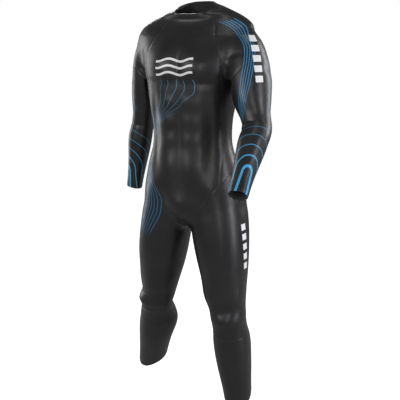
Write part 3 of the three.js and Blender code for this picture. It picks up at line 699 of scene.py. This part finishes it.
# Panels
panelLook = {"skin": 0.0046, "sleeveSkin": 0.0028, "collarSkin": 0.0042, "groove": 0.0007,
             "grooveWidth": 0.0030, "rows": (0.0022, 0.0055), "armpitReach": 0.012, "speck": 1 / 12,
             "weld": 0.00002, "farFromSeams": 1.0}


def smoothShade(mesh):
    mesh.polygons.foreach_set("use_smooth", np.ones(len(mesh.polygons), bool))


def pointsOf(mesh):
    flat = np.empty(len(mesh.vertices) * 3)
    mesh.vertices.foreach_get("co", flat)
    return flat.reshape(-1, 3)


def samePlane(a, b):  # whichever way either of them faces
    return abs(abs(a[1]) - abs(b[1])) < 1e-9 and abs(a[0] @ b[0]) > 0.999


def endOf(plane):  # an armhole seam ends at the armpit, a groin seam at the middle
    for s in seams.values():
        armpit = shifted(s["armSide"], -panelLook["armpitReach"])
        for key, stop in (("armhole", armpit), ("groin", s["middle"])):
            if samePlane(plane, s[key]):
                return stop
    return None


def dropSpecks(sheet):  # small islands that a seam plane leaves beside a panel
    seen, islands = set(), []
    for start in sheet.verts:
        if start in seen:
            continue
        stack, island = [start], []
        seen.add(start)
        while stack:
            vertex = stack.pop()
            island.append(vertex)
            for edge in vertex.link_edges:
                other = edge.other_vert(vertex)
                if other not in seen:
                    seen.add(other)
                    stack.append(other)
        islands.append(island)
    least = max(len(island) for island in islands) * panelLook["speck"]
    specks = [v for island in islands if len(island) < least for v in island]
    bmesh.ops.delete(sheet, geom=specks, context="VERTS")


def panel(name, sheet, bounding, slot, thick, body, span=None, prints=(), quiet=(), lift=0):
    # a cut sheet becomes a skin of its true thickness, its edges let down a little into the seams;
    # quiet seams are glued flush, lift raises a piece off the skin, a piece given a span stays in the
    # part's frame on no body
    look = panelLook
    for edge in sheet.edges:
        edge.smooth = not edge.is_boundary
    quietOffsets = [way * plane[1] for plane in quiet for way in (1, -1)]
    bounding = [plane for plane in bounding if plane[1] not in quietOffsets]
    for plane in bounding:
        for reach in look["rows"]:
            cut(sheet, shifted(plane, seamRoom + reach), False, endOf(plane))
    dropSpecks(sheet)
    bmesh.ops.remove_doubles(sheet, verts=sheet.verts[:], dist=look["weld"])
    mesh = bpy.data.meshes.new(name)
    sheet.to_mesh(mesh)
    sheet.free()
    at = pointsOf(mesh)
    slope, steep = slopeOf(at)
    outward = slope / steep
    edge = np.full(len(at), look["farFromSeams"])
    for plane in bounding:
        stop = endOf(plane)
        away = np.abs(at @ plane[0] - plane[1]) + (at @ stop[0] < stop[1] if stop else 0)
        edge = np.minimum(edge, away)
    drop = look["groove"] * np.exp(-(edge / look["grooveWidth"]) ** 2)
    at = at + outward * (lift - drop)[:, None]
    mesh.vertices.foreach_set("co", at.ravel())
    fields = {key: 0 * edge for key in ("line", "half", "tint", "line2", "half2", "tint2", "shade")}
    fields["edge"] = edge
    mark = np.zeros((len(at), 3))
    for draw in prints:
        draw(at, fields, mark)
    for key, value in fields.items():
        mesh.attributes.new(key, "FLOAT", "POINT").data.foreach_set("value", value.astype(np.float32))
    marks = mesh.attributes.new("mark", "FLOAT_VECTOR", "POINT")
    marks.data.foreach_set("vector", mark.astype(np.float32).ravel())
    mesh.materials.append(finishes[slot])
    mesh.materials.append(finishes[knit])
    smoothShade(mesh)
    piece = bpy.data.objects.new("skin_" + name, mesh)
    bpy.context.scene.collection.objects.link(piece)
    wall = piece.modifiers.new("wall", "SOLIDIFY")
    wall.thickness = thick
    wall.offset = -1
    wall.use_even_offset = False
    wall.material_offset = 1
    wall.material_offset_rim = 0
    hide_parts(name)
    if span:
        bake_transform(piece)
    else:
        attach(piece, body)


# Prints
def limbAngle(limb, at):
    along, across, ahead = limbPlace(limb, at + neckCentre)
    return along, np.degrees(np.arctan2(across * limb["side"], ahead))


# Nested arches on the outer forearm, and the end of the lines above them at the elbow
archPrint = {"apex": 0.473, "facing": {"left": 40, "right": 44}, "first": 0.0204, "spacing": 0.0345,
             "stretch": 1.35, "radius": 0.034, "spread": 7, "last": 4, "thin": 0.03, "thick": 0.115,
             "tintLoss": 0.17, "start": 0.006, "gap": (0.016, 0.026)}
rearPrint = {"angle": 99, "spacing": 0.0062, "lines": 3, "half": 0.17, "tint": 0.15, "fade": (0.02, 0.10)}
# The bundle down a sleeve: distance along the arm, angle from ahead, spacing of its lines
bundleFlow = curveThrough([
    (0.000, 30, 0.0070), (0.030, 35, 0.0068), (0.067, 35, 0.0064), (0.105, 29, 0.0062),
    (0.143, 19, 0.0066), (0.182, 7, 0.0068), (0.222, -12, 0.0066), (0.257, -34, 0.0056),
    (0.280, -47, 0.0046), (0.307, -58, 0.0034)])
# and over the shoulder: height, distance out from the arm's line, spacing
shoulderFlow = curveThrough([
    (1.380, 0.034, 0.0066), (1.427, 0.026, 0.0080), (1.450, 0.010, 0.0100), (1.466, -0.010, 0.0135),
    (1.478, -0.036, 0.0170), (1.495, -0.066, 0.0200)])
bundlePrint = {"lines": 5, "half": 0.19, "tint": 0.42, "radius": 0.057, "turn": {"left": 0, "right": 42},
               "shoulder": (1.395, 1.435), "overShoulder": {"left": 1, "right": 0}, "rear": 0.022,
               "neck": (1.472, 1.495), "elbow": {"left": (0.004, 0.035), "right": (0.040, 0.100)},
               "end": 0.002, "shadeEdge": 0.5}
sleeveMark = {"angle": 50, "top": 1.436, "pitch": 0.030, "half": 0.0115, "radius": 0.060}
markReach = (-2, 7)  # rows counted past both ends of a mark


def setBars(mark, across, down):
    mark[:] = np.stack([np.abs(across), np.clip(down, *markReach), np.ones_like(down)], -1)


def sleevePrint(side):
    limb = limbs[side + "_arm"]
    arch, rear, bundle = archPrint, rearPrint, bundlePrint

    def draw(at, fields, mark):
        p = at + neckCentre
        along, angle = limbAngle(limb, at)
        below = along - arch["apex"]
        fromElbow = limb["lengths"][0] - along
        # nested arches: reach = sqrt((stretch * arc across)^2 + (height above the apex)^2), wider below it
        arc = np.radians(around(angle, arch["facing"][side])) * arch["radius"]
        arc = arc / (1 + arch["spread"] * np.maximum(below, 0))
        reach = np.hypot(arc * arch["stretch"], np.minimum(below, 0))
        level = np.clip((reach - arch["first"]) / arch["spacing"], -0.5, arch["last"] + 0.5)
        nearest = np.clip(np.round(level), 0, arch["last"])
        archHalf = arch["thin"] + arch["thick"] * np.exp(-nearest)
        # fewer lines down the back of the upper sleeve
        behind = np.radians(around(angle, rear["angle"])) * bundle["radius"] / rear["spacing"]
        rearHalf = rear["half"] * (np.abs(behind) < rear["lines"] / 2) * step01(along, *rear["fade"])
        onForearm = fromElbow < arch["start"]
        ends = step01(-fromElbow, -arch["start"], 0) + step01(fromElbow, *arch["gap"])
        fields["line"][:] = np.where(onForearm, level, behind)
        fields["half"][:] = ends * np.where(onForearm, archHalf, rearHalf)
        fields["tint"][:] = np.where(onForearm, 1 - arch["tintLoss"] * nearest, rear["tint"])
        # the bundle: its rows lie round the arm, and across x over the shoulder
        share = (limb["start"][2] - p[:, 2]) / (limb["start"][2] - limb["bend"][2])
        armLine = limb["start"] + share[:, None] * (limb["bend"] - limb["start"])
        flow, over = bundleFlow(along), shoulderFlow(p[:, 2])
        middle = flow[:, 0] + bundle["turn"][side]
        roundArm = np.radians(around(angle, middle)) * bundle["radius"] / flow[:, 1]
        overTop = (limb["side"] * (p[:, 0] - armLine[:, 0]) - over[:, 0]) / over[:, 1]
        high = step01(p[:, 2], *bundle["shoulder"])
        row = roundArm * (1 - high) + overTop * high
        inFront = (p[:, 1] - armLine[:, 1] < bundle["rear"]) | (high < 0.5)
        inFront = inFront & (fromElbow > bundle["end"])
        fade = step01(fromElbow, *bundle["elbow"][side]) * (1 - step01(p[:, 2], *bundle["neck"]))
        fade = fade * (1 - high * (1 - bundle["overShoulder"][side])) * inFront
        outer = bundle["lines"] / 2
        fields["line2"][:] = row
        fields["half2"][:] = bundle["half"] * fade * (np.abs(row) < outer)
        fields["tint2"][:] = bundle["tint"]
        fields["shade"][:] = fade * (1 - step01(np.abs(row), outer, outer + bundle["shadeEdge"]))
        if side == "left":  # plain bars on the outer sleeve
            size = sleeveMark
            across = np.radians(around(angle, size["angle"])) * size["radius"] / size["half"]
            setBars(mark, across, (size["top"] - p[:, 2]) / size["pitch"])

    return draw


# Lines that draw together at the right waist and spread over the hip: height, y - x, spacing
flankFlow = curveThrough([
    (0.740, 0.133, 0.0150), (0.800, 0.088, 0.0150), (0.842, 0.060, 0.0150), (0.897, 0.038, 0.0150),
    (0.930, 0.040, 0.0140), (0.980, 0.060, 0.0105), (1.040, 0.085, 0.0070), (1.100, 0.072, 0.0072),
    (1.145, 0.034, 0.0105), (1.200, -0.052, 0.0190), (1.240, -0.094, 0.0270), (1.300, -0.111, 0.0310)])
flankLook = {"half": 0.0013, "halfRange": (0.035, 0.22), "outerLine": 3.5, "chestTint": 0.22,
             "hipTint": 0.30, "chest": (1.16, 1.22), "wave": 0.14, "waveUp": 75, "waveAcross": 30,
             "low": (0.750, 0.80), "top": 1.296, "rear": (0.045, 0.075), "shade": 0.85,
             "shadeEdge": (3.4, 4.2), "shadeTop": (1.0, 1.12)}


def flankPrint(at, fields, mark):
    look = flankLook
    p = at + neckCentre
    height = p[:, 2]
    flow = flankFlow(height)
    onChest = step01(height, *look["chest"])
    wave = look["wave"] * onChest * np.sin(height * look["waveUp"] + p[:, 0] * look["waveAcross"])
    row = (p[:, 1] - p[:, 0] - flow[:, 0]) / flow[:, 1] + wave
    ends = step01(height, *look["low"]) * (height < look["top"]) * (1 - step01(p[:, 1], *look["rear"]))
    half = np.clip(look["half"] / flow[:, 1], *look["halfRange"])
    fields["line"][:] = row
    fields["half"][:] = (np.abs(row) < look["outerLine"] - onChest) * ends * half
    fields["tint"][:] = look["hipTint"] * (1 - onChest) + look["chestTint"] * onChest
    near = 1 - step01(np.abs(row), *look["shadeEdge"])
    fields["shade"][:] = near * (1 - step01(height, *look["shadeTop"])) * ends * look["shade"]


chestMarkSize = {"middle": -0.008, "half": 0.066, "low": 1.304, "pitch": 0.0205, "reach": (-2, 5)}
thighMarkSize = {"angle": 79, "top": 0.052, "pitch": 0.033, "half": 0.0125, "radius": 0.088}


def chestMark(at, fields, mark):  # three low waves
    size = chestMarkSize
    p = at + neckCentre
    across = (p[:, 0] - size["middle"]) / size["half"]
    up = (p[:, 2] - size["low"]) / size["pitch"]
    mark[:] = np.stack([across, np.clip(up, *size["reach"]), 2 * np.ones_like(up)], -1)


def thighMark(at, fields, mark):  # plain bars
    size = thighMarkSize
    along, angle = limbAngle(limbs["left_leg"], at)
    across = np.radians(around(angle, size["angle"])) * size["radius"] / size["half"]
    setBars(mark, across, (along - size["top"]) / size["pitch"])


# Sleeves and legs; a flex panel is given the two bodies beside it and a span of two points
def flexSpan(plane, length):  # along a seam's normal
    normal, offset = plane
    return normal * offset, normal * (offset + length)


def bendSpan(limb, reach):  # along both bones, about their joint
    bend = limb["bend"] - neckCentre
    return bend - limb["first"] * reach, bend + limb["second"] * reach


def makeSleeve(side):
    s = seams[side]
    whole = beyond(skin, s["armhole"], s["armSide"], s["aboveHand"])
    draw = [sleevePrint(side)]
    quiet = [s[key] for key in ("shoulderFlexEnd", "elbowFlexStart", "elbowFlexEnd", "upperSplit",
                                "lowerSplit", "cuffStart", "underarm")]
    shoulder = ("torso", side + "_upper_arm")
    elbow = (side + "_upper_arm", side + "_forearm")
    shoulderSpan = flexSpan(s["armhole"], seamSizes["shoulderFlex"])
    elbowSpan = bendSpan(limbs[side + "_arm"], seamSizes["elbowReach"])

    def piece(name, planes, slot, body, span=None):
        sheet = beyond(whole, *planes)
        panel(f"{side}_{name}", sheet, planes, slot, panelLook["sleeveSkin"], body, span, draw, quiet)

    flex = [s["armhole"], back(s["shoulderFlexEnd"])]
    piece("shoulder_flex_panel", flex + [s["underarm"]], stretchy, shoulder, shoulderSpan)
    piece("underarm_gusset", flex + [back(s["underarm"])], stretchy, shoulder, shoulderSpan)
    upper = [s["shoulderFlexEnd"], back(s["elbowFlexStart"])]
    piece("upper_sleeve_outer_panel", upper + [s["upperSplit"]], smooth, shoulder[1])
    piece("upper_sleeve_inner_panel", upper + [back(s["upperSplit"])], stretchy, shoulder[1])
    piece("elbow_flex_panel", [s["elbowFlexStart"], back(s["elbowFlexEnd"])], stretchy, elbow, elbowSpan)
    lower = [s["elbowFlexEnd"], back(s["cuffStart"])]
    piece("forearm_outer_panel", lower + [s["lowerSplit"]], smooth, elbow[1])
    piece("forearm_inner_panel", lower + [back(s["lowerSplit"])], stretchy, elbow[1])
    piece("wrist_cuff", [s["cuffStart"], back(s["cuffEnd"])], hem, elbow[1])
    whole.free()
    print("sleeve:", side)


def makeLeg(side):
    s = seams[side]
    legOnly = outside(skin, s["armhole"], s["armSide"], s["aboveHand"])
    whole = beyond(legOnly, s["groin"], s["middle"])
    legOnly.free()
    draw = [thighMark] if side == "left" else [flankPrint]
    quiet = [s[key] for key in ("hipFlexEnd", "kneeFlexStart", "thighSplit", "shinSplit")]
    hip = ("torso", side + "_thigh")
    knee = (side + "_thigh", side + "_shin")
    hipSpan = flexSpan(s["groin"], seamSizes["hipFlex"])
    kneeSpan = bendSpan(limbs[side + "_leg"], seamSizes["kneeReach"])

    def piece(name, planes, slot, body, span=None, drawn=()):
        sheet = beyond(whole, *planes)
        panel(f"{side}_{name}", sheet, planes, slot, panelLook["skin"], body, span, drawn, quiet)

    piece("hip_flex_panel", [s["groin"], back(s["hipFlexEnd"])], stretchy, hip, hipSpan, draw)
    thigh = [s["hipFlexEnd"], back(s["kneeFlexStart"])]
    piece("thigh_front_panel", thigh + [s["thighSplit"]], smooth, hip[1], drawn=draw)
    piece("thigh_back_panel", thigh + [back(s["thighSplit"])], smooth, hip[1], drawn=draw)
    piece("knee_flex_panel", [s["kneeFlexStart"], back(s["kneeFlexEnd"])], stretchy, knee, kneeSpan)
    shin = [s["kneeFlexEnd"], back(s["hemStart"])]
    piece("shin_panel", shin + [s["shinSplit"]], smooth, knee[1])
    piece("calf_panel", shin + [back(s["shinSplit"])], smooth, knee[1])
    piece("leg_hem", [s["hemStart"], back(s["hemEnd"])], hem, knee[1])
    whole.free()
    print("leg:", side)


# Trunk
# The collar's closure, at the back: name, from x, to x, inset, low and high face off the skin, body, slot
closure = [
    ("collar_loop_patch", 0.006, 0.036, 0.005, (0.0003, 0.0013), "torso", knit),
    ("collar_hook_patch", 0.010, 0.032, 0.006, (0.0017, 0.0027), "collar_tab", knit),
    ("collar_closure_tab", -0.034, 0.034, 0.0035, (0.0030, 0.0054), "collar_tab", smooth),
]
tabRoot = ((-0.034, 0, 0), (-0.016, 0, 0))  # the tab's sewn end, given as the tab's span


def makeTrunk():
    sizes = seamSizes
    both = (seams["left"], seams["right"])
    collarSeam = seam(collarBase, collarUp)
    trunk = beyond(skin, back(collarSeam))
    for s in both:
        for wedge in ((s["armhole"], s["armSide"], s["aboveHand"]), (s["groin"], s["middle"])):
            rest = outside(trunk, *wedge)
            trunk.free()
            trunk = rest
    edges = [back(collarSeam)] + [back(s["groin"]) for s in both] + [back(s["armhole"]) for s in both]
    inner = [back(s[key]) for s in both for key in ("raglan", "sideSeam")]
    front = seam((0, sizes["front"], 0), (0, -1, 0))
    waist = seam((0, 0, sizes["waist"]), (0, 0, 1))
    lower = seam((0, 0, sizes["lowerBack"]), (0, 0, 1))
    seat = seam((0, 0, sizes["seat"]), (0, 0, 1))
    gusset = seam((0, 0, sizes["crotch"] + sizes["gusset"]), (0, 0, -1))
    slotLow = seam((0, 0, sizes["zipBottom"]), (0, 0, 1))
    slotHigh = seam((0, 0, sizes["zipTop"]), (0, 0, -1))

    def piece(name, planes, slot, drawn=(), sheet=None):
        if sheet is None:
            sheet = beyond(trunk, *planes)
        panel(name, sheet, planes + edges, slot, panelLook["skin"], "torso", prints=drawn,
              quiet=[waist, collarSeam])

    piece("chest_panel", inner + [front, waist], smooth, [flankPrint, chestMark])
    piece("abdomen_panel", inner + [front, back(waist), back(gusset)], smooth, [flankPrint])
    piece("crotch_gusset", inner + [gusset], stretchy)
    for side in ("left", "right"):
        s = seams[side]
        outward = s["middle"][0]
        # the two back panels meet down the middle, with a slot for the zip
        slotSide = seam(outward * sizes["zipHalf"], -outward)
        planes = inner + [back(front), lower, s["middle"]]
        half = beyond(trunk, *planes)
        piece(f"{side}_upper_back_panel", planes, smooth, sheet=outside(half, slotSide, slotLow, slotHigh))
        half.free()
        flank = [flankPrint] if side == "right" else []
        piece(f"{side}_side_panel", [s["sideSeam"], back(s["raglan"])], smooth, flank)
        piece(f"{side}_shoulder_panel", [s["raglan"]], stretchy, [sleevePrint(side)])
    piece("lower_back_panel", inner + [back(front), back(lower), seat], smooth)
    piece("seat_panel", inner + [back(front), back(seat), back(gusset)], smooth)
    trunk.free()
    rim = seam(neckCentre, collarUp)
    binding = seam(neckCentre - collarUp * sizes["binding"], collarUp)
    for name, planes, slot in (("collar_band", [collarSeam, back(binding)], smooth),
                               ("collar_binding", [binding, back(rim)], hem)):
        sheet = beyond(skin, *planes)
        panel(name, sheet, planes, slot, panelLook["collarSkin"], "torso", quiet=[collarSeam])
    # two patches and the closing tab lie on the back of the collar, one over the other
    for name, start, end, inset, (low, high), body, slot in closure:
        planes = [seam(collarBase + collarUp * inset, collarUp),
                  back(seam(neckCentre - collarUp * inset, collarUp)),
                  seam((start, 0, 0), (1, 0, 0)), seam((end, 0, 0), (-1, 0, 0)),
                  seam(neckCentre, (0, 1, 0))]
        bends = name == "collar_closure_tab"
        panel(name, beyond(skin, *planes), [], slot, high - low, ("torso", body) if bends else body,
              tabRoot if bends else None, lift=high)
    print("trunk and collar")


makeTrunk()
for sideName in ("left", "right"):
    makeSleeve(sideName)
    makeLeg(sideName)

# Zip: carried-over solids with their finish
fittings = {"zip_tape_left": tapeCloth, "zip_tape_right": tapeCloth,
            "zip_teeth_left": zipPlastic, "zip_teeth_right": zipPlastic,
            "zip_top_stop_left": zipPlastic, "zip_top_stop_right": zipPlastic,
            "zip_bottom_stop": zipPlastic, "zip_pull_tab": zipPlastic,
            "zip_backing_flap": finishes[knit], "zip_slider": zipMetal}
for name, material in fittings.items():
    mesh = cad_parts[name].data
    mesh.materials.clear()
    mesh.materials.append(material)
print("zip:", len(fittings), "pieces")

# Stage
studio = {"ambient": 0.10, "backdrop": 1.0, "lightsAim": (0, 0, -0.55)}
floorLook = {"reach": 14, "colour": (0.35, 0.35, 0.35), "roughness": 0.8, "glow": 0.96}
# Soft lights: name, place, width and height, power, colour
lightSet = [
    ("key", (-1.4, -2.6, 0.5), (1.1, 2.0), 30, (1, 1, 1)),
    ("front", (1.1, -3.2, 0.2), (0.6, 2.4), 20, (1, 0.99, 0.98)),
    ("leftSide", (2.9, -0.5, 0.0), (1.0, 2.6), 50, (0.92, 0.93, 1)),
    ("rightSide", (-2.9, 0.4, 0.0), (1.0, 2.6), 32, (1, 1, 1)),
    ("leftBack", (1.7, 2.4, 0.6), (0.8, 2.2), 40, (1, 1, 1)),
    ("rightBack", (-1.7, 2.4, 0.6), (0.8, 2.2), 40, (1, 1, 1)),
    ("top", (0.1, -0.1, 2.6), (1.2, 0.8), 7, (1, 1, 1)),
]


def makeLights():
    for name, place, size, power, colour in lightSet:
        data = bpy.data.lights.new(name, "AREA")
        data.shape = "RECTANGLE"
        data.size, data.size_y = size
        data.energy = power
        data.color = colour
        lamp = bpy.data.objects.new(name, data)
        lamp.location = place
        way = unit(*(np.array(studio["lightsAim"]) - np.array(place)))
        lamp.rotation_euler = (math.acos(-way[2]), 0, math.atan2(-way[0], way[1]))
        bpy.context.scene.collection.objects.link(lamp)


def makeBackdrop():
    world = bpy.data.worlds.new("world")
    bpy.context.scene.world = world
    world.use_nodes = True
    tree = world.node_tree
    background = tree.nodes["Background"]
    background.inputs["Color"].default_value = (1, 1, 1, 1)
    # the camera sees white round the suit, which itself is lit by less
    seen = tree.nodes.new("ShaderNodeLightPath")
    strength = tree.nodes.new("ShaderNodeMapRange")
    strength.inputs["To Min"].default_value = studio["ambient"]
    strength.inputs["To Max"].default_value = studio["backdrop"]
    tree.links.new(seen.outputs["Is Camera Ray"], strength.inputs["Value"])
    tree.links.new(strength.outputs["Result"], background.inputs["Strength"])
    bpy.context.scene.view_settings.view_transform = "Standard"


def makeFloor(look=floorLook):
    mesh = bpy.data.meshes.new("floor")
    reach, low = look["reach"], -neckCentre[2]
    corners = [(-reach, -reach, low), (reach, -reach, low), (reach, reach, low), (-reach, reach, low)]
    mesh.from_pydata(corners, [], [(0, 1, 2, 3)])
    floor = bpy.data.objects.new("floor", mesh)
    bpy.context.scene.collection.objects.link(floor)
    s = Shader("floor")
    seen = s.add("ShaderNodeLightPath", {})["Is Camera Ray"]
    s.set(Base_Color=paint(look["colour"]), Roughness=look["roughness"], Emission_Strength=look["glow"])
    s.set(Emission_Color=s.mixed(seen, (0, 0, 0, 1), (1, 1, 1, 1)))
    mesh.materials.append(s.material)


makeLights()
makeBackdrop()
makeFloor()
print("stage")
